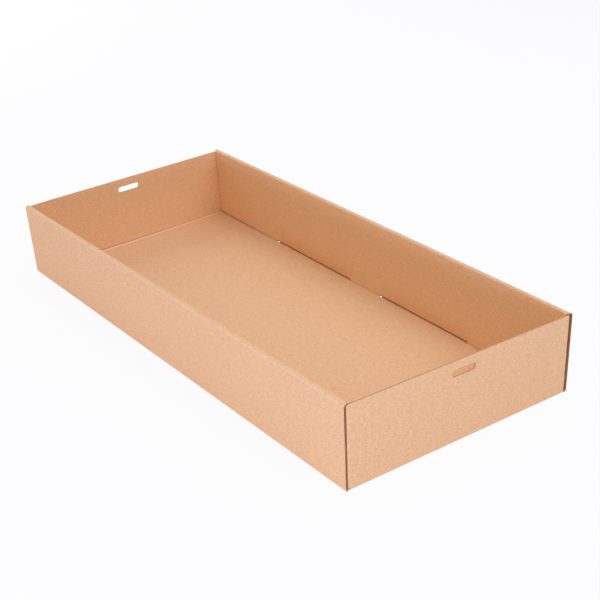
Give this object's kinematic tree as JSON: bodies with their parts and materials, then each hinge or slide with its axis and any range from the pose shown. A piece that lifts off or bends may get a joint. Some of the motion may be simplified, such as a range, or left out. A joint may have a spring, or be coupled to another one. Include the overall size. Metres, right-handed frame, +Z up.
{
  "type": "cardboard tray box",
  "caption": "Shallow open-topped tray box folded from a sheet of kraft corrugated board, with rolled-over long walls that lock into the base and finger slots in the end walls.",
  "frame": {"origin": "on the surface it stands on, under the middle of the base", "axes": "+X along the tray, +Y across it, +Z up out of its open top"},
  "size_m": [0.558, 0.252, 0.08],
  "materials": {
    "kraft_board": "matt kraft liner"
  },
  "bodies": {
    "root": {"tray": "kraft_board"}
  },
  "joints": []
}
